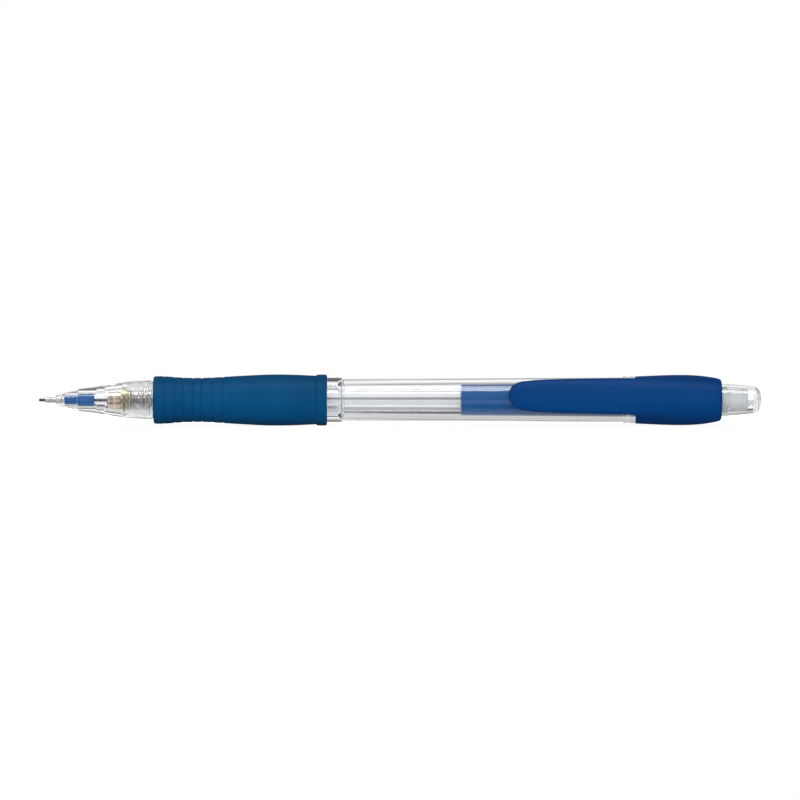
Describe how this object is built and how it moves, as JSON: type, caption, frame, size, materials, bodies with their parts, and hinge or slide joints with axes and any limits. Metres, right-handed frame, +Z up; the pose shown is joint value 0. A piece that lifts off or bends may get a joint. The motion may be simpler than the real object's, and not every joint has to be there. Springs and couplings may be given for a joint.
{
  "type": "mechanical pencil",
  "caption": "Clear mechanical pencil with a grooved soft grip, screw-on ribbed nose, brass jaw chuck, pocket clip, and a push button over an eraser.",
  "frame": {"origin": "on the pencil's axis, at the front end of the metal lead sleeve", "axes": "+X runs along the pencil from the writing tip to the push button, +Z is up with the pencil lying level, and the clip looks towards -Y, turned 10.4 degrees upwards"},
  "size_m": [0.1444, 0.0112, 0.0102],
  "materials": {
    "graphite": "dark polymer graphite",
    "steel": "drawn stainless tube, satin",
    "clear_plastic": "clear moulded polystyrene, polished",
    "blue_bush": "blue moulded plastic, gloss",
    "black_rubber": "black rubber",
    "brass": "turned brass",
    "spring_steel": "bright spring wire",
    "milky_plastic": "translucent extruded tube",
    "blue_rubber": "soft-touch blue rubber",
    "blue_plastic": "blue moulded plastic, gloss",
    "eraser": "white vinyl eraser"
  },
  "bodies": {
    "barrel_body": {"barrel": "clear_plastic", "grip": "blue_rubber", "rear_sleeve": "blue_plastic", "chuck_seat": "brass", "return_spring": "spring_steel"},
    "push_tube": {"lead_tube": "milky_plastic", "chuck_base": "brass", "spare_lead": "graphite"},
    "clutch_ring": {"chuck_ring": "brass"},
    "jaw_1": {"chuck_jaw_1": "brass"},
    "jaw_2": {"chuck_jaw_2": "brass"},
    "jaw_3": {"chuck_jaw_3": "brass"},
    "lead": {"working_lead": "graphite"},
    "eraser_plug": {"eraser": "eraser"},
    "cap": {"button_cap": "clear_plastic"},
    "clip_arm": {"clip": "blue_plastic"},
    "tip_sleeve": {"lead_sleeve": "steel"},
    "nose": {"nose_cone": "clear_plastic", "nose_insert": "blue_bush", "lead_retainer": "black_rubber"}
  },
  "joints": [
    {"name": "button_press", "type": "slide", "parent": "barrel_body", "child": "push_tube", "axis": [-1, 0, 0], "range_m": [0, 0.002], "stiffness_N_per_m": 250, "springref_m": -0.0005, "deforming": ["return_spring"]},
    {"name": "ring_slide", "type": "slide", "parent": "barrel_body", "child": "clutch_ring", "axis": [-1, 0, 0], "range_m": [0, 0.0006]},
    {"name": "jaw_1_open", "type": "hinge", "parent": "push_tube", "child": "jaw_1", "pos_m": [0.01902, 0.00052, 0.0003], "axis": [0, 0.5, -0.866], "range_deg": [0, 1]},
    {"name": "jaw_2_open", "type": "hinge", "parent": "push_tube", "child": "jaw_2", "pos_m": [0.01902, -0.00052, 0.0003], "axis": [0, 0.5, 0.866], "range_deg": [0, 1]},
    {"name": "jaw_3_open", "type": "hinge", "parent": "push_tube", "child": "jaw_3", "pos_m": [0.01902, 0, -0.0006], "axis": [0, -1, 0], "range_deg": [0, 1]},
    {"name": "lead_feed", "type": "slide", "parent": "clutch_ring", "child": "lead", "axis": [-1, 0, 0], "range_m": [-0.00124, 0.006]},
    {"name": "eraser_pull", "type": "slide", "parent": "push_tube", "child": "eraser_plug", "axis": [1, 0, 0], "range_m": [0, 0.01]},
    {"name": "cap_pull", "type": "slide", "parent": "eraser_plug", "child": "cap", "axis": [1, 0, 0], "range_m": [0, 0.015]},
    {"name": "clip_flex", "type": "hinge", "parent": "barrel_body", "child": "clip_arm", "pos_m": [0.11905, -0.00526, 0.00097], "axis": [0, 0.1805, 0.9836], "range_deg": [0, 4], "stiffness_Nm_per_rad": 0.02},
    {"name": "nose_travel", "type": "slide", "parent": "barrel_body", "child": "tip_sleeve", "axis": [-1, 0, 0], "range_m": [0, 0.0045]},
    {"name": "nose_unscrew", "type": "hinge", "parent": "tip_sleeve", "child": "nose", "pos_m": [0, 0, 0], "axis": [-1, 0, 0], "range_deg": [0, 1802]}
  ],
  "couplings": [
    {"joint": "ring_slide", "follows": "button_press", "ratio": 0.3},
    {"joint": "jaw_1_open", "follows": "button_press", "rad_per_m": 8.7258},
    {"joint": "jaw_2_open", "follows": "button_press", "rad_per_m": 8.7258},
    {"joint": "jaw_3_open", "follows": "button_press", "rad_per_m": 8.7258},
    {"joint": "nose_unscrew", "follows": "nose_travel", "rad_per_m": 6981.3}
  ]
}
